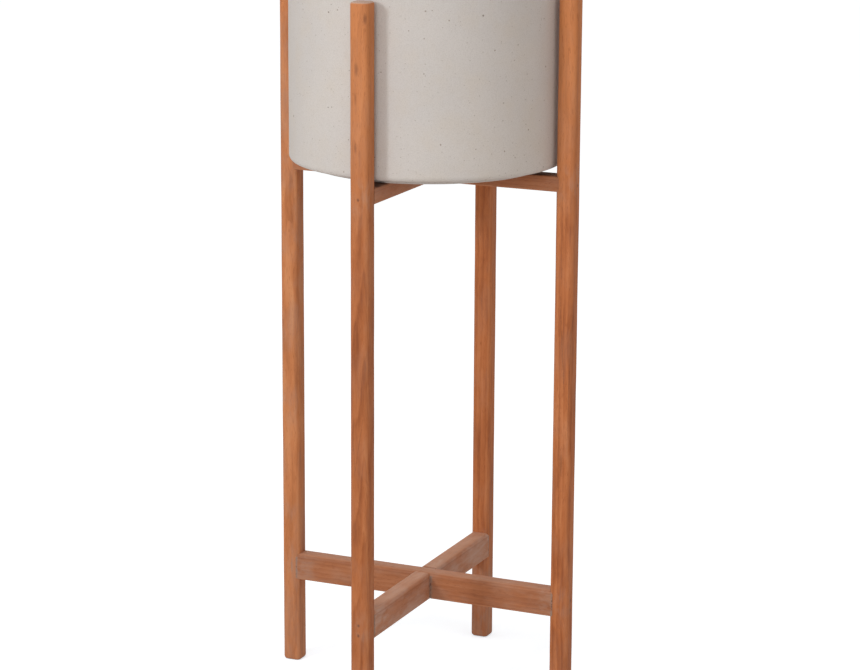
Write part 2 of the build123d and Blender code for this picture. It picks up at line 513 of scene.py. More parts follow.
    def marked(self, graph: Graph, place: Socket, colour: Socket) -> Socket:
        """Lays the stick's small knots, veins, nail stains and painted shade marks over its
        colour.

        Args:
            graph: the nodes.
            place: each point's place.
            colour: the bare wood.

        Returns:
            The marked colour.
        """
        rags = graph.math("MULTIPLY", graph.noise(place, self.patterns.ragged), self.mark_rags)
        for mark in self.marks:
            away = graph.vector("SUBTRACT", place, mark.place)
            if any(mark.lean):
                along = graph.split(away)[2]
                drift = {
                    axis: graph.math("MULTIPLY", along, lean)
                    for axis, lean in enumerate(mark.lean)
                }
                drifted = graph.add("CombineXYZ", drift).outputs[0]
                away = graph.vector("SUBTRACT", away, drifted)
            near = graph.vector("MULTIPLY", away, (1.0, 1.0, 1 / mark.stretch))
            wavy = graph.math("ADD", graph.measure("LENGTH", near), rags)
            low, high = (part * mark.radius for part in self.mark_reach)
            share = graph.smooth(wavy, Fade(low, high, mark.depth, 0.0))
            tint = getattr(self.tones, mark.tone.value)
            colour = graph.mix(share, colour, tint)
        return colour

    def dusty(self, graph: Graph, place: Socket, along: Socket, streak: Socket) -> Socket:
        """Works out the dust: soft patches, and more of it by the joints and the foot.

        Args:
            graph: the nodes.
            place: each point's place.
            along: the place's last number.
            streak: the grain's fine streaks.

        Returns:
            How dusty the surface is, from 0 to 1.
        """
        fades = self.fades
        patches = graph.noise(place, self.patterns.patches)
        smears = graph.noise(place, self.patterns.smears)
        dust = graph.smooth(patches, fades.patches.to(self.dust_share))
        core = self.joint_core * self.joint_reach
        for joint in self.joints:
            near = graph.smooth(graph.gap(along, joint), Fade(core, self.joint_reach, 1.0, 0.0))
            smeared = graph.smooth(smears, fades.joint_smears.to(self.joint_dust))
            dust = graph.math("MAXIMUM", dust, graph.math("MULTIPLY", near, smeared))
        if self.foot_dust:
            low, high = (reach - self.length / 2 for reach in self.foot_reach)
            foot = graph.smooth(along, Fade(low, high, self.foot_dust, 0.0))
            soiled = graph.math("MULTIPLY", foot, graph.smooth(smears, fades.foot_smears))
            dust = graph.math("MAXIMUM", dust, soiled)
        bare = graph.smooth(streak, fades.streaks.to(1 - self.streak_cover * self.contrast))
        return graph.math("MULTIPLY", dust, bare)

    def paint_top_light(self, graph: Graph, place: Socket, colour: Socket) -> Socket:
        """Gives a level bar's top face its painted light, down to a painted shade line under its
        round: a paler tone that is partly dust and partly painted sheen, or painted shade under
        the pot.

        Args:
            graph: the nodes.
            place: each point's place.
            colour: the bar's colour so far.

        Returns:
            The colour with its top face's dust and painted light.
        """
        up = Euler(self.grain.value).to_matrix() @ Vector((0, 0, 1))
        rise = graph.measure("DOT_PRODUCT", place, up)
        half = sum(abs(part) * size for part, size in zip(up, self.half_sizes))
        low, high = (half - reach for reach in self.top_reach)
        cover = graph.smooth(rise, Fade(low, high, 0.0, self.top_painted_light_share))
        uneven = graph.smooth(graph.noise(place, self.patterns.uneven), self.fades.uneven)
        # The top face: dust and painted sheen, or painted shade under the pot.
        colour = graph.mix(graph.math("MULTIPLY", cover, uneven), colour, self.tones.top_dust_and_painted_light)
        # A painted shade line where the top round meets the face.
        line = graph.smooth(graph.gap(rise, half - self.painted_shade_drop), self.fades.painted_shade_line)
        return graph.mix(line, colour, self.tones.dark)

    def seamed(
        self, graph: Graph, place: Socket, sides: Sequence[Socket], colour: Socket
    ) -> Socket:
        """Fills the joints' seams, and leaves them open here and there.

        Args:
            graph: the nodes.
            place: each point's place.
            sides: how far it is from the middle, across, deep and along.
            colour: the stick's colour so far.

        Returns:
            The colour with its seams.
        """
        fades, narrow = self.fades, min(self.half_sizes)
        level = sides[self.half_sizes.index(narrow)]
        flat = graph.smooth(level, Fade(*(share * narrow for share in self.face_reach)))
        crumbs = graph.noise(place, self.patterns.crumbs)
        filled = graph.math("MULTIPLY", flat, graph.smooth(crumbs, fades.filler_crumbs))
        broken = graph.math("MULTIPLY", flat, graph.smooth(crumbs, fades.seam_crumbs))
        for seam in self.seams:
            off = graph.gap(sides[2], seam)
            fill = graph.math("MULTIPLY", graph.smooth(off, fades.filler), filled)
            colour = graph.mix(fill, colour, self.tones.filler)
            line = graph.math("MULTIPLY", graph.smooth(off, fades.seam), broken)
            colour = graph.mix(line, colour, self.tones.seam)
        return colour

    def worn(self, graph: Graph, place: Socket, streak: Socket, colour: Socket) -> Socket:
        """Adds the sanded edges, the dust, the top face's dust and painted light, and the seams.

        Args:
            graph: the nodes.
            place: each point's place.
            streak: the grain's fine streaks.
            colour: the marked wood.

        Returns:
            The worn colour.
        """
        across, deep, along = graph.split(place)
        sides = [graph.math("ABSOLUTE", part) for part in (across, deep, along)]
        corner = graph.math("SUBTRACT", graph.math("ADD", *sides[:2]), sum(self.half_sizes))
        rubs = graph.noise(place, self.patterns.rubs)
        edge = graph.smooth(corner, Fade(*self.edge_reach, 0.0, self.edge_wear))
        edge = graph.math("MULTIPLY", edge, graph.smooth(rubs, self.fades.rubs))
        colour = graph.mix(edge, colour, self.tones.rubbed)
        colour = graph.mix(self.dusty(graph, place, along, streak), colour, self.tones.dust)
        if self.top_painted_light_share:
            colour = self.paint_top_light(graph, place, colour)
        return self.seamed(graph, place, sides, colour) if self.seams else colour

    def ended(self, graph: Graph, place: Socket, rings: Socket, colour: Socket) -> Socket:
        """Lays the paler end grain, with its rings and open pores, over both cut ends.

        Args:
            graph: the nodes.
            place: each point's place.
            rings: the year rings.
            colour: the worn wood.

        Returns:
            The whole stick's colour.
        """
        along = graph.math("ABSOLUTE", graph.split(place)[2])
        end = graph.smooth(along, Fade(*(self.length / 2 - reach for reach in self.end_reach)))
        pores = graph.smooth(graph.noise(place, self.patterns.end_pores), self.fades.end_pores)
        lines = graph.smooth(rings, self.fades.end_rings)
        ringed = graph.mix(lines, self.tones.end_grain, self.tones.dark)
        return graph.mix(end, colour, graph.mix(pores, ringed, self.tones.dark))

    def material(self) -> bpy.types.Material:
        """Builds the finish.

        Returns:
            The stick's material.
        """
        graph, tones = Graph(bpy.data.materials.new(self.name)), self.tones
        place = self.place(graph)
        figure = self.figure(graph, place)
        tints = zip(self.stops, (tones.dark, tones.middle, tones.pale))
        shaded = [(stop, tuple(part * self.shade for part in tint)) for stop, tint in tints]
        colour = graph.ramp(figure.tone, shaded)
        # Paler towards the top of the leg.
        if self.upper_pale_share:
            low, high = (share * self.length for share in self.upper_pale_reach)
            faded = graph.smooth(graph.split(place)[2], Fade(low, high, 0.0, self.upper_pale_share))
            colour = graph.mix(faded, colour, tones.upper_pale)
        pores = graph.math("MULTIPLY", figure.pores, self.pore_tone)
        colour = graph.mix(pores, colour, tones.dark)
        if self.marks:
            colour = self.marked(graph, place, colour)
        colour = self.worn(graph, place, figure.streak, colour)
        hollows = graph.math("MULTIPLY", figure.pores, self.pore_hollow)
        inputs = {
            "Base Color": self.ended(graph, place, figure.rings, colour),
            "Roughness": graph.smooth(figure.streak, self.fades.roughness),
            "Specular IOR Level": self.specular,
            "Normal": graph.bump(graph.math("SUBTRACT", figure.streak, hollows), self.relief),
        }
        return graph.finish(graph.add("BsdfPrincipled", inputs))


@dataclass(frozen=True)
class Specks:
    """One size of speck in the pot's clay."""

    spacing: float
    radius: float
    share: float
    colour: Colour


@dataclass(frozen=True)
class ClayFinish:
    """Matte warm grey clay with a soft mottle, fine grit and small dark pits."""

    name: str = "matte_clay"
    base: Colour = paint(206, 197, 190)
    cool: Colour = paint(198, 191, 187)
    warm: Colour = paint(204, 192, 180)
    specks: tuple[Specks, ...] = (
        Specks(4 * MM, 0.7 * MM, 0.7, paint(162, 149, 139)),
        Specks(7.5 * MM, 1.15 * MM, 0.75, paint(150, 134, 121)),
        Specks(16 * MM, 1.4 * MM, 0.6, paint(118, 102, 91)),
    )
    speck_cover: float = 0.8
    speck_edge: float = 0.35
    wash: Pattern = Pattern(7.0, 3.0, 0.5)
    cloud: Pattern = Pattern(34.0, 4.0)
    grit: Pattern = Pattern(900.0, 2.0)
    washed: Fade = Fade(0.35, 0.65, 0.0, 0.6)
    clouded: Fade = Fade(0.4, 0.75, 0.0, 0.5)
    gritty: Fade = Fade(0.35, 0.8, 0.0, 0.3)
    roughness: Fade = Fade(0.3, 0.7, 0.72, 0.86)
    specular: float = 0.3
    grit_height: float = 0.35
    relief: Span = (0.4, 0.3 * MM)

    def speckled(
        self, graph: Graph, place: Socket, specks: Specks, colour: Socket
    ) -> tuple[Socket, Socket]:
        """Lays one size of speck over the colour.

        Args:
            graph: the nodes.
            place: each point's place, in metres.
            specks: the size of speck.
            colour: the clay so far.

        Returns:
            The new colour, and where the specks are, from 0 to 1.
        """
        size = specks.radius / specks.spacing
        cells = graph.add("TexVoronoi", {"Vector": place, "Scale": 1 / specks.spacing})
        chance = graph.add("SeparateColor", {0: cells.outputs["Color"]}).outputs[0]
        radius = graph.smooth(chance, Fade(1 - specks.share, 1.0, 0.0, size))
        inside = graph.math("SUBTRACT", radius, cells.outputs["Distance"])
        mask = graph.smooth(inside, Fade(0.0, self.speck_edge * size))
        cover = graph.math("MULTIPLY", mask, self.speck_cover)
        return graph.mix(cover, colour, specks.colour), mask

    def material(self) -> bpy.types.Material:
        """Builds the finish.

        Returns:
            The clay's material.
        """
        graph = Graph(bpy.data.materials.new(self.name))
        place = graph.add("TexCoord").outputs["Object"]
        wash, cloud, grit = (
            graph.noise(place, pattern) for pattern in (self.wash, self.cloud, self.grit)
        )
        colour = graph.mix(graph.smooth(wash, self.washed), self.base, self.cool)
        colour = graph.mix(graph.smooth(cloud, self.clouded), colour, self.warm)
        colour = graph.mix(graph.smooth(grit, self.gritty), colour, self.specks[0].colour)
        pits = None
        for specks in self.specks:
            colour, mask = self.speckled(graph, place, specks, colour)
            pits = mask if pits is None else graph.math("MAXIMUM", pits, mask)
        height = graph.math("SUBTRACT", graph.math("MULTIPLY", grit, self.grit_height), pits)
        inputs = {
            "Base Color": colour,
            "Roughness": graph.smooth(cloud, self.roughness),
            "Specular IOR Level": self.specular,
            "Normal": graph.bump(height, self.relief),
        }
        return graph.finish(graph.add("BsdfPrincipled", inputs))


@dataclass(frozen=True)
class MetalFinish:
    """A small steel fastener: dull, with a spotty film of oxide."""

    name: str
    bright: Colour
    dull: Colour
    metallic: float
    film: Pattern = Pattern(900.0)
    spots: Fade = Fade(0.35, 0.65)
    roughness: Fade = Fade(0.3, 0.7, 0.42, 0.65)

    def material(self) -> bpy.types.Material:
        """Builds the finish.

        Returns:
            The metal's material.
        """
        graph = Graph(bpy.data.materials.new(self.name))
        film = graph.noise(graph.add("TexCoord").outputs["Object"], self.film)
        inputs = {
            "Base Color": graph.mix(graph.smooth(film, self.spots), self.bright, self.dull),
            "Metallic": self.metallic,
            "Roughness": graph.smooth(film, self.roughness),
        }
        return graph.finish(graph.add("BsdfPrincipled", inputs))


@dataclass(frozen=True)
class RubberFinish:
    """Black moulded rubber with a little pale dust."""

    name: str = "black_rubber"
    base: Colour = paint(38, 37, 36)
    dust: Colour = paint(96, 92, 88)
    film: Pattern = Pattern(260.0, 5.0, 0.7)
    grit: Pattern = Pattern(1800.0, 2.0, 0.5)
    dusted: Fade = Fade(0.45, 0.8, 0.0, 0.6)
    roughness: Fade = Fade(0.3, 0.7, 0.6, 0.85)
    relief: Span = (0.3, 0.2 * MM)

    def material(self) -> bpy.types.Material:
        """Builds the finish.

        Returns:
            The rubber's material.
        """
        graph = Graph(bpy.data.materials.new(self.name))
        place = graph.add("TexCoord").outputs["Object"]
        film = graph.noise(place, self.film)
        inputs = {
            "Base Color": graph.mix(graph.smooth(film, self.dusted), self.base, self.dust),
            "Roughness": graph.smooth(film, self.roughness),
            "Normal": graph.bump(graph.noise(place, self.grit), self.relief),
        }
        return graph.finish(graph.add("BsdfPrincipled", inputs))


class Bench:
    """Hand tools for modelling: each works on the one object that is active."""

    @staticmethod
    def clear() -> None:
        """Deselects every object."""
        for thing in bpy.data.objects:
            thing.select_set(False)

    @staticmethod
    def take(piece: Piece) -> None:
        """Selects one object alone and makes it active.

        Args:
            piece: the object to take.
        """
        Bench.clear()
        piece.select_set(True)
        bpy.context.view_layer.objects.active = piece

    @staticmethod
    def settle(piece: Piece, name: str) -> None:
        """Names a new primitive and moves its place and size into its mesh.

        Args:
            piece: the primitive.
            name: the name for it and its mesh.
        """
        piece.name = name
        piece.data.name = name
        Bench.take(piece)
        bpy.ops.object.transform_apply(location=True, rotation=True, scale=True)

    @staticmethod
    def pick(piece: Piece, kind: Part, wanted: Callable[[object], bool]) -> None:
        """Selects edges or faces of the mesh in edit mode by a test.

        Args:
            piece: the object in edit mode.
            kind: what to pick.
            wanted: says whether one edge or face is to be selected.
        """
        bpy.ops.mesh.select_mode(type=kind.name)
        bpy.ops.mesh.select_all(action="DESELECT")
        shape = bmesh.from_edit_mesh(piece.data)
        for part in getattr(shape, kind.value):
            if wanted(part):
                part.select_set(True)
        bmesh.update_edit_mesh(piece.data)

    @staticmethod
    def pick_long(piece: Piece, least: float) -> None:
        """Selects the edges that are longer than least."""
        Bench.pick(piece, Part.EDGE, lambda edge: edge.calc_length() > least)

    @staticmethod
    def draw_out(rise: float) -> None:
        """Extrudes the selected faces up by rise, or down if it is negative."""
        bpy.ops.mesh.extrude_region_move(TRANSFORM_OT_translate={"value": (0, 0, rise)})

    @staticmethod
    def soften(
        piece: Piece, level: float, size: float, steps: int, reach: float | None = None
    ) -> None:
        """Rounds the edges that lie level at a height.

        Args:
            piece: the object in edit mode.
            level: the height of the edges.
            size: the size of the round.
            steps: how many faces it has.
            reach: how far from the axis they are, if only those are wanted.
        """
        def wanted(edge: bmesh.types.BMEdge) -> bool:
            """Whether both ends of an edge are there."""
            return all(
                abs(end.co.z - level) < SLACK
                and (reach is None or abs(end.co.xy.length - reach) < SLACK)
                for end in edge.verts
            )

        Bench.pick(piece, Part.EDGE, wanted)
        bpy.ops.mesh.bevel(offset=size, segments=steps, profile=ROUND, clamp_overlap=False)

    @staticmethod
    def modify(piece: Piece, kind: str, **settings: object) -> None:
        """Adds a modifier and applies it.

        Args:
            piece: the object to change.
            kind: the modifier's type.
            settings: its own properties.
        """
        Bench.take(piece)
        modifier = piece.modifiers.new(kind.lower(), kind)
        for name, value in settings.items():
            setattr(modifier, name, value)
        bpy.ops.object.modifier_apply(modifier=modifier.name)

    @staticmethod
    def waver(piece: Piece, size: float, depth: float) -> None:
        """Sinks the surface by a soft uneven amount, never outwards.

        Args:
            piece: the object to shape.
            size: the width of one hollow.
            depth: how far the deepest hollow goes in.
        """
        clouds = bpy.data.textures.new(piece.name + "_waver", "CLOUDS")
        clouds.noise_scale = size
        clouds.noise_depth = 1
        Bench.modify(piece, "DISPLACE", texture=clouds, strength=depth, mid_level=1.0)

    @staticmethod
    def cut(piece: Piece, tool: Piece) -> None:
        """Takes the shape of a tool out of a piece."""
        Bench.modify(piece, "BOOLEAN", object=tool, operation="DIFFERENCE", solver="EXACT")

    @staticmethod
    def smooth(piece: Piece, angle: float) -> None:
        """Shades a piece smooth, apart from edges sharper than the angle in degrees."""
        Bench.take(piece)
        bpy.ops.object.shade_smooth_by_angle(angle=math.radians(angle))


@dataclass
class Pot:
    """The clay pot and the rubber plug in its drain hole."""

    wall: float = 11 * MM
    floor: float = 12 * MM
    foot_round: float = 6.5 * MM
    inner_round: float = 8 * MM
    rim_round: float = 3 * MM
    ring_radius: float = 130 * MM
    ring_width: float = 12 * MM
    ring_height: float = 5.5 * MM
    ring_round: float = 1.5 * MM
    hole_radius: float = 11 * MM
    hole_chamfer: float = 1.5 * MM
    seat_radius: float = 16.3 * MM
    seat_depth: float = 3.5 * MM
    seat_round: float = 0.5 * MM
    sides: int = 176
    wall_rows: int = 28
    foot_steps: int = 10
    inner_steps: int = 6
    rim_steps: int = 5
    ring_steps: int = 3
    hole_steps: int = 2
    hollow_size: float = 55 * MM
    hollow_depth: float = 0.35 * MM
    crease_degrees: float = 40
    clay: ClayFinish = field(default_factory=ClayFinish)
    rubber: RubberFinish = field(default_factory=RubberFinish)

    def hollow(self, pot: Piece, radius: float, height: float) -> None:
        """Sinks the inside, the plug's seat and the top of its hole into a solid pot.

        Args:
            pot: the solid pot, in edit mode.
            radius: its outer radius.
            height: its height.
        """
        Bench.pick(pot, Part.FACE, lambda face: face.normal.z > LEVEL)
        bpy.ops.mesh.inset(thickness=self.wall)
        Bench.draw_out(self.floor - height)
        bpy.ops.mesh.inset(thickness=radius - self.wall - self.seat_radius)
        Bench.draw_out(-self.seat_depth)
        bpy.ops.mesh.inset(thickness=self.seat_radius - self.hole_radius)
        bpy.ops.mesh.delete(type="FACE")

    def stand_on_ring(self, pot: Piece, radius: float, base: float) -> None:
        """Opens the drain hole through the bottom and draws the foot ring down from it.

        Args:
            pot: the hollow pot, in edit mode.
            radius: its outer radius.
            base: the height of its bottom above the ring's foot.
        """
        ring_inner = self.ring_radius - self.ring_width
        Bench.pick(pot, Part.FACE, lambda face: face.normal.z < -LEVEL)
        steps = (radius - self.ring_radius, self.ring_width, ring_inner - self.hole_radius)
        for step in steps:
            bpy.ops.mesh.inset(thickness=step)
        bpy.ops.mesh.delete(type="FACE")
        Bench.pick(pot, Part.EDGE, lambda edge: edge.is_boundary)
        bpy.ops.mesh.bridge_edge_loops()

        def in_ring(face: bmesh.types.BMFace) -> bool:
            """Whether a face is in the band that becomes the ring's foot."""
            middle = face.calc_center_median()
            return (
                face.normal.z < -LEVEL
                and ring_inner < middle.xy.length < self.ring_radius
                and abs(middle.z - base) < self.ring_height / 2
            )

        Bench.pick(pot, Part.FACE, in_ring)
        Bench.draw_out(-self.ring_height)

    def shell(self) -> Piece:
        """Models the shell from a cylinder.

        Returns:
            The pot, with its walls, floor, foot ring, rounded edges and drain hole.
        """
        low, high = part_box("pot")
        base = low.z + self.ring_height
        radius, height = high.x, high.z - base
        Bench.clear()
        bpy.ops.mesh.primitive_cylinder_add(
            vertices=self.sides,
            radius=radius,
            depth=height,
            end_fill_type="NGON",
            location=(0, 0, (base + high.z) / 2),
        )
        pot = bpy.context.object
        Bench.settle(pot, "pot_shell")
        bpy.ops.object.mode_set(mode="EDIT")
        self.hollow(pot, radius, height)
        self.stand_on_ring(pot, radius, base)
        inner, ring_inner = radius - self.wall, self.ring_radius - self.ring_width
        floor_top = base + self.floor
        for reach, level, size, steps in (
            (radius, base, self.foot_round, self.foot_steps),
            (self.ring_radius, low.z, self.ring_round, self.ring_steps),
            (ring_inner, low.z, self.ring_round, self.ring_steps),
            (inner, floor_top, self.inner_round, self.inner_steps),
            (radius, high.z, self.rim_round, self.rim_steps),
            (inner, high.z, self.rim_round, self.rim_steps),
            (self.hole_radius, base, self.hole_chamfer, self.hole_steps),
            (self.hole_radius, floor_top - self.seat_depth, self.hole_chamfer, self.hole_steps),
            (self.seat_radius, floor_top, self.seat_round, self.hole_steps),
        ):
            Bench.soften(pot, level, size, steps, reach)
        Bench.pick_long(pot, height / 2)
        bpy.ops.mesh.subdivide(number_cuts=self.wall_rows)
        bpy.ops.object.mode_set(mode="OBJECT")
        Bench.waver(pot, self.hollow_size, self.hollow_depth)
        Bench.smooth(pot, self.crease_degrees)
        return pot

    def build(self) -> list[Piece]:
        """Makes and dresses the pot and the plug.

        Returns:
            The two pieces.
        """
        pot = self.shell()
        pot.data.materials.append(self.clay.material())
        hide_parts("pot")
        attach(pot, "pot")
        plug = frame["nodes"]["drain_plug"]
        plug.data.materials[0] = self.rubber.material()
        return [pot, plug]


# Each leg's small knots and thin veins, and a painted shade streak down the left leg's corner,
# from the middle of the leg.
LEG_MARKS: dict[str, tuple[Mark, ...]] = {
    "front_leg": (
        Mark((0.008, -0.0105, 0.382), 2.2 * MM, 0.6),
        Mark((-0.002, -0.011, 0.329), 2.4 * MM, 0.45, 3.0),
        Mark((-0.003, -0.011, 0.246), 1.8 * MM, 0.45, 3.0),
        Mark((-0.003, -0.011, 0.298), 1.6 * MM, 0.3, 5.0),
        Mark((0.004, -0.011, 0.19), 2.0 * MM, 0.25, 9.0),
        Mark((0.0014, -0.011, -0.0725), 1.0 * MM, 0.4, 50.0, lean=(0.156, 0.0)),
        Mark((-0.0057, -0.011, -0.078), 0.95 * MM, 0.35, 40.0, lean=(-0.081, 0.0)),
    ),
    "right_leg": (
        Mark((0.001, -0.011, -0.12), 1.8 * MM, 0.4, 9.0),
        Mark((-0.002, -0.011, 0.115), 0.95 * MM, 0.4, 120.0),
        Mark((0.0004, -0.011, 0.01), 1.0 * MM, 0.5, 75.0, lean=(-0.059, 0.0)),
        Mark((0.0108, -0.0065, 0.04), 1.3 * MM, 0.5, 60.0, lean=(0.034, 0.112)),
        Mark((0.0085, -0.0099, -0.042), 1.0 * MM, 0.55, 90.0, lean=(0.012, 0.009)),
        Mark((-0.0018, -0.011, -0.072), 0.95 * MM, 0.35, 45.0),
    ),
    "back_leg": (),
    "left_leg": (
        # A painted shade streak along the corner, in the knot tone.
        Mark((0.0095, -0.011, -0.03), 3.2 * MM, 0.3, 22.0),
        Mark((0.0018, -0.011, -0.283), 1.5 * MM, 0.6, 7.0, Tone.FILLER),
    ),
}
NAIL_STAIN = Mark((0.0, 0.0, 0.0), 1.7 * MM, 0.85, 1.2)

# The colours of the bars: the side bars', the front to back bars', and the painted shade on the
# upper bars' tops, where the pot shades them.
BAR_TONES = WoodTones(paint(134, 76, 46), paint(168, 103, 66), paint(188, 126, 88))
DUSTY_TONES = WoodTones(
    dark=paint(144, 88, 60),
    middle=paint(178, 116, 82),
    pale=paint(194, 136, 104),
    dust=paint(190, 154, 136),
)
# Painted shade on the upper bars' tops, standing in for the pot's shade.
SHADE_UNDER_POT = paint(70, 44, 31)

# What sets each leg's board apart from the others.
LEG_BOARDS: dict[str, dict[str, object]] = {
    "front_leg": {
        "heart": (-0.005, 0.024),
        "ring_tilt": math.radians(-6),
        "ring_spacing": 2.6 * MM,
        "late_wood": 0.16,
        "upper_pale_share": 0.5,
        "contrast": 1.05,
        "shade": 0.87,
    },
    "right_leg": {
        "heart": (-0.024, 0.01),
        "late_wood": 0.1,
        "upper_pale_share": 0.45,
        "contrast": 1.0,
        "shade": 0.96,
    },
    "back_leg": {"heart": (0.02, 0.012), "foot_dust": 0.7, "shade": 0.96},
    "left_leg": {
        "heart": (0.006, 0.03),
        "tones": WoodTones(paint(154, 88, 46), paint(188, 116, 70), paint(204, 138, 92)),
        "foot_dust": 0.35,
        "dust_share": 0.4,
        "shade": 1.06,
    },
}

# What sets each bar apart from the others. Its marks are painted shade for the gaps at its lap.
BAR_BOARDS: dict[str, dict[str, object]] = {
    "lower_side_bar": {
        "tones": BAR_TONES,
        "dust_share": 0.35,
        "joint_dust": 0.5,
        "top_painted_light_share": 0.4,
        # Painted shade of a gap at the lap.
        "marks": (Mark((0.001, -0.0108, 0.0112), 1.9 * MM, 0.95, 0.55),),
    },
    "lower_front_back_bar": {
        "tones": DUSTY_TONES,
        "dust_share": 0.8,
        "joint_dust": 0.85,
        "joint_reach": 55 * MM,
        "top_painted_light_share": 0.55,
        # Painted shade of a gap at the lap.
        "marks": (Mark((0.0108, -0.001, -0.0125), 1.8 * MM, 0.95, 1.2),),
    },
    "upper_side_bar": {
        # Painted shade on the top, under the pot.
        "tones": replace(BAR_TONES, top_dust_and_painted_light=SHADE_UNDER_POT),
        "dust_share": 0.35,
        "joint_dust": 0.2,
        "top_painted_light_share": 0.85,
    },
    "upper_front_back_bar": {
        # Painted shade on the top, under the pot.
        "tones": replace(DUSTY_TONES, top_dust_and_painted_light=SHADE_UNDER_POT),
        "dust_share": 0.35,
        "joint_dust": 0.2,
        "joint_reach": 55 * MM,
        "top_painted_light_share": 0.85,
    },
}


def islands(shape: bmesh.types.BMesh) -> list[set[bmesh.types.BMVert]]:
    """Sorts a mesh's corners by the loose part that they are in.

    Args:
        shape: the mesh.

    Returns:
        Each loose part's corners.
    """
    waiting, parts = set(shape.verts), []
    while waiting:
        found = {waiting.pop()}
        grown = set(found)
        while grown:
            touched = {edge.other_vert(end) for end in grown for edge in end.link_edges}
            grown = touched - found
            found |= grown
        waiting -= found
        parts.append(found)
    return parts


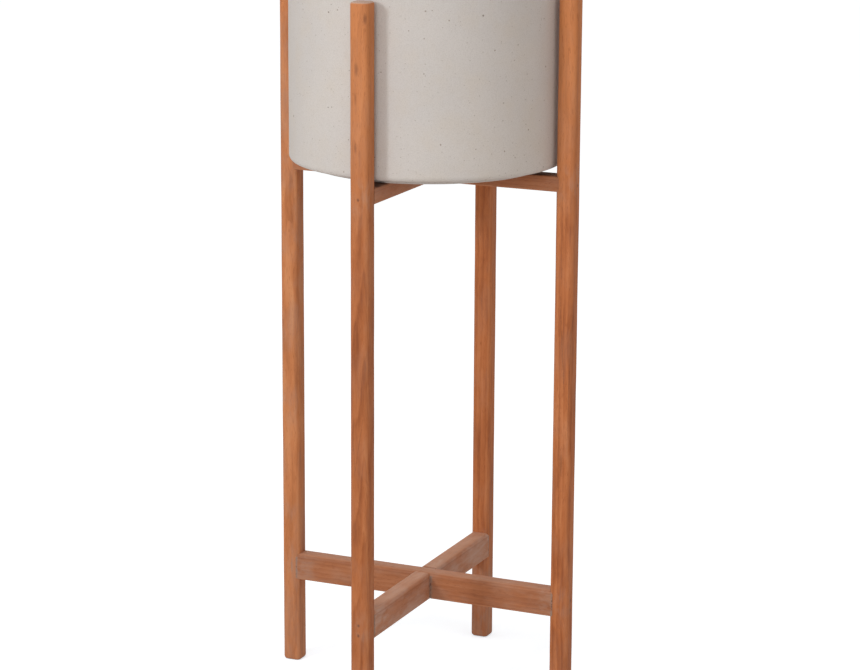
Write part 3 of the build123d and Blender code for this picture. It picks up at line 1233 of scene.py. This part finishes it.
@dataclass
class Stand:
    """Four legs, two pairs of crossed bars, and the brads and screws that hold them."""

    corner_round: float = 6 * MM
    foot_round: float = 3.5 * MM
    top_round: float = 2.5 * MM
    corner_steps: int = 7
    end_steps: int = 3
    row_height: float = 9 * MM
    hollow_size: float = 50 * MM
    hollow_depth: float = 0.35 * MM
    crease_degrees: float = 35
    brad_room: float = 0.15 * MM
    cope_depth: float = 8.2 * MM
    shoulder_depth: float = 14 * MM
    lap_half: float = 11.2 * MM
    leg_seed: float = 1.7
    leg_seed_step: float = 2.3
    bar_seed: float = 21.3
    bar_seed_step: float = 3.1
    bar_contrast: float = 0.55
    bar_edge_wear: float = 0.45
    bar_edge_reach: Span = (-2.2 * MM, -1.0 * MM)
    wire: MetalFinish = MetalFinish("dark_wire", paint(58, 46, 38), paint(32, 25, 21), 0.5)
    zinc: MetalFinish = MetalFinish("zinc_plate", paint(190, 186, 176), paint(150, 146, 138), 0.85)

    def leg(self, node: str) -> Piece:
        """Models one leg from a block.

        Args:
            node: the leg's CAD node.

        Returns:
            The leg, with rounded corners, soft ends and a hand-sanded surface.
        """
        low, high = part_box(node)
        Bench.clear()
        bpy.ops.mesh.primitive_cube_add(size=1, location=(low + high) / 2, scale=high - low)
        stick = bpy.context.object
        Bench.settle(stick, node + "_stick")
        bpy.ops.object.mode_set(mode="EDIT")
        tall = high.z - low.z
        Bench.pick_long(stick, tall / 2)
        bpy.ops.mesh.bevel(offset=self.corner_round, segments=self.corner_steps, profile=ROUND)
        Bench.soften(stick, low.z, self.foot_round, self.end_steps)
        Bench.soften(stick, high.z, self.top_round, self.end_steps)
        Bench.pick_long(stick, tall / 2)
        bpy.ops.mesh.subdivide(number_cuts=round(tall / self.row_height))
        bpy.ops.object.mode_set(mode="OBJECT")
        Bench.waver(stick, self.hollow_size, self.hollow_depth)
        return stick

    def tool(self, node: str, grow: float) -> Piece:
        """Makes a cutter for a node's seat from a merged copy of its mesh.

        Args:
            node: the CAD node that needs the seat.
            grow: how much larger than the node it is all round.

        Returns:
            The cutter.
        """
        copy = frame["nodes"][node].copy()
        copy.data = copy.data.copy()
        copy.name = node + "_cutter"
        bpy.context.scene.collection.objects.link(copy)
        copy.parent = None
        copy.matrix_world = Matrix.Identity(4)
        Bench.take(copy)
        bpy.ops.object.mode_set(mode="EDIT")
        bpy.ops.mesh.select_all(action="SELECT")
        bpy.ops.mesh.remove_doubles(threshold=MERGE)
        bpy.ops.mesh.normals_make_consistent(inside=False)
        if grow:
            bpy.ops.transform.shrink_fatten(value=grow)
        bpy.ops.object.mode_set(mode="OBJECT")
        return copy

    def build(self) -> list[Piece]:
        """Makes the legs, cuts their seats and dresses the whole stand.

        Returns:
            Every piece of the stand.
        """
        tools = [self.tool(name, 0.0) for name in BAR_BOARDS]
        tools += [self.tool(name, self.brad_room) for name in ("lower_brads", "upper_brads")]
        made = []
        for number, node in enumerate(LEG_BOARDS):
            stick = self.leg(node)
            for tool in tools:
                Bench.cut(stick, tool)
            Bench.smooth(stick, self.crease_degrees)
            stick.data.materials.clear()
            stick.data.materials.append(self.leg_wood(node, number).material())
            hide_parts(node)
            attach(stick, "stand")
            made.append(stick)
        for tool in tools:
            bpy.data.objects.remove(tool)
        finishes = {node: self.bar_wood(node, number) for number, node in enumerate(BAR_BOARDS)}
        finishes |= {"lower_brads": self.wire, "upper_brads": self.wire, "lap_screws": self.zinc}
        for node, finish in finishes.items():
            frame["nodes"][node].data.materials[0] = finish.material()
            made.append(frame["nodes"][node])
        return made

    def stains(self, node: str) -> list[Mark]:
        """Finds where the brads go into one leg.

        Args:
            node: the leg's CAD node.

        Returns:
            The stain round each brad, lowest first.
        """
        low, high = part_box(node)
        middle = (low + high) / 2
        outer = middle.xy.normalized() * (high.x - low.x) / 2
        heights = []
        for name in ("lower_brads", "upper_brads"):
            shape = bmesh.new()
            shape.from_mesh(frame["nodes"][name].data)
            bmesh.ops.remove_doubles(shape, verts=shape.verts, dist=MERGE)
            for brad in islands(shape):
                corners = list(zip(*(end.co for end in brad)))
                x, y, z = ((min(row) + max(row)) / 2 for row in corners)
                if low.x < x < high.x and low.y < y < high.y:
                    heights.append(z - middle.z)
            shape.free()
        return [replace(NAIL_STAIN, place=(*outer, height)) for height in sorted(heights)]

    def leg_wood(self, node: str, number: int) -> WoodFinish:
        """Chooses the finish of one leg, each cut from its own board.

        Args:
            node: the leg's CAD node.
            number: its place in the order of the legs.

        Returns:
            The leg's finish.
        """
        low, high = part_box(node)
        middle = (low + high) / 2
        levels = (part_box(name) for name in ("lower_side_bar", "upper_side_bar"))
        return WoodFinish(
            name=node + "_wood",
            grain=Grain.UPRIGHT,
            centre=tuple(middle),
            length=high.z - low.z,
            half_sizes=((high.x - low.x) / 2, (high.y - low.y) / 2),
            seed=self.leg_seed + self.leg_seed_step * number,
            joints=tuple((under.z + over.z) / 2 - middle.z for under, over in levels),
            marks=(*LEG_MARKS[node], *self.stains(node)),
            **LEG_BOARDS[node],
        )

    def bar_wood(self, node: str, number: int) -> WoodFinish:
        """Chooses the finish of one bar, duller and dustier than the legs.

        Args:
            node: the bar's CAD node.
            number: its place in the order of the bars.

        Returns:
            The bar's finish.
        """
        low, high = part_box(node)
        wide, deep, tall = high - low
        sideways = wide > deep
        length = max(wide, deep)
        shoulder = length / 2 - self.shoulder_depth
        half_sizes = (tall / 2, min(wide, deep) / 2)
        lower = node.startswith("lower")
        return WoodFinish(
            name=node + "_wood",
            grain=Grain.SIDEWAYS if sideways else Grain.FRONT_TO_BACK,
            centre=tuple((low + high) / 2),
            length=length,
            half_sizes=half_sizes if sideways else half_sizes[::-1],
            seed=self.bar_seed + self.bar_seed_step * number,
            contrast=self.bar_contrast,
            joints=(-shoulder, 0.0, shoulder),
            seams=(length / 2 - self.cope_depth, self.lap_half) if lower else (),
            edge_wear=self.bar_edge_wear,
            edge_reach=self.bar_edge_reach,
            **BAR_BOARDS[node],
        )


@dataclass(frozen=True)
class Lamp:
    """A round soft lamp that points at the object."""

    name: str
    azimuth: float
    elevation: float
    size: float
    power: float
    colour: Colour = (0.87, 0.95, 1.0)


@dataclass
class Studio:
    """Camera, lamps, pale floor and white surroundings."""

    azimuth: float = math.radians(24.03)
    elevation: float = math.radians(13.448)
    roll: float = math.radians(0.282)
    aim_height: float = 0.406
    aim_aside: float = 0.0039
    distance: float = 3.265
    focal_pixels: float = 2917.2
    surround: Colour = (0.565, 0.53, 0.5)
    white: Colour = (1.0, 1.0, 1.0)
    lamps: tuple[Lamp, ...] = (
        Lamp("key", math.radians(-24), math.radians(24), 0.45, 26.0),
        Lamp("fill", math.radians(12), math.radians(23), 1.6, 18.0),
        Lamp("overhead", math.radians(10), math.radians(72), 2.0, 5.0),
    )
    lamp_distance: float = 3.0
    floor_size: float = 60.0
    floor_colour: Colour = (0.82, 0.82, 0.82)
    floor_glow: float = 0.62
    floor_tint: Colour = (0.87, 0.94, 1.0)

    @staticmethod
    def towards(azimuth: float, elevation: float) -> Vector:
        """The direction from the object to a point round it."""
        flat = math.cos(elevation)
        return Vector((math.sin(azimuth) * flat, -math.cos(azimuth) * flat, math.sin(elevation)))

    def camera(self) -> None:
        """Places the camera at the photograph's viewing angle."""
        back = self.towards(self.azimuth, self.elevation)
        right = (-back).cross(Vector((0, 0, 1))).normalized()
        up = right.cross(-back)
        side = right * math.cos(self.roll) + up * math.sin(self.roll)
        top = up * math.cos(self.roll) - right * math.sin(self.roll)
        aim = Vector((0, 0, self.aim_height)) + right * self.aim_aside
        lens = bpy.data.cameras.new("camera")
        lens.sensor_width = SENSOR_WIDTH
        lens.lens = self.focal_pixels / PHOTO_WIDTH * SENSOR_WIDTH
        eye = bpy.data.objects.new("camera", lens)
        bpy.context.scene.collection.objects.link(eye)
        turn = Matrix((side, top, back)).transposed()
        eye.matrix_world = Matrix.Translation(aim + back * self.distance) @ turn.to_4x4()
        bpy.context.scene.camera = eye

    def light(self, lamp: Lamp) -> None:
        """Hangs one lamp in its place.

        Args:
            lamp: the lamp to hang.
        """
        source = bpy.data.lights.new(lamp.name, "AREA")
        source.shape = "DISK"
        source.size = lamp.size
        source.energy = lamp.power
        source.color = lamp.colour
        holder = bpy.data.objects.new(lamp.name, source)
        bpy.context.scene.collection.objects.link(holder)
        way = self.towards(lamp.azimuth, lamp.elevation)
        holder.location = Vector((0, 0, self.aim_height)) + way * self.lamp_distance
        holder.rotation_euler = way.to_track_quat("Z", "Y").to_euler()

    def surroundings(self) -> None:
        """Makes a white room: full white where it is seen, and softer and warmer as a light."""
        world = bpy.data.worlds.new("surroundings")
        bpy.context.scene.world = world
        graph = Graph(world)
        path = graph.add("LightPath").outputs
        seen = path["Is Camera Ray"]
        for kind in ("Is Glossy Ray", "Is Transmission Ray"):
            seen = graph.math("MAXIMUM", seen, path[kind])
        glow = graph.mix(seen, self.surround, self.white)
        graph.finish(graph.add("Background", {"Color": glow}), "OutputWorld")

    def floor(self) -> None:
        """Lays a pale floor that looks white away from the object's shadow."""
        Bench.clear()
        bpy.ops.mesh.primitive_plane_add(size=self.floor_size, location=(0, 0, 0))
        floor = bpy.context.object
        Bench.settle(floor, "floor")
        graph = Graph(bpy.data.materials.new("pale_floor"))
        paper = graph.add("BsdfDiffuse", {"Color": (*self.floor_colour, 1.0)})
        seen = graph.add("LightPath").outputs["Is Camera Ray"]
        glow = graph.math("MULTIPLY", seen, self.floor_glow)
        shine = graph.add("Emission", {"Color": (*self.floor_tint, 1.0), "Strength": glow})
        both = graph.add("AddShader", {0: paper.outputs[0], 1: shine.outputs[0]})
        floor.data.materials.append(graph.finish(both))

    def build(self) -> None:
        """Sets up the whole studio."""
        bpy.context.scene.view_settings.view_transform = "Standard"
        self.camera()
        for lamp in self.lamps:
            self.light(lamp)
        self.surroundings()
        self.floor()


def main() -> None:
    """Builds the studio, the stand and the pot, and reports each piece."""
    logging.basicConfig(level=logging.INFO, format="%(message)s")
    Studio().build()
    for maker in (Stand(), Pot()):
        for piece in maker.build():
            log.info("%s: %d faces", piece.name, len(piece.data.polygons))


if __name__ == "__main__":
    main()
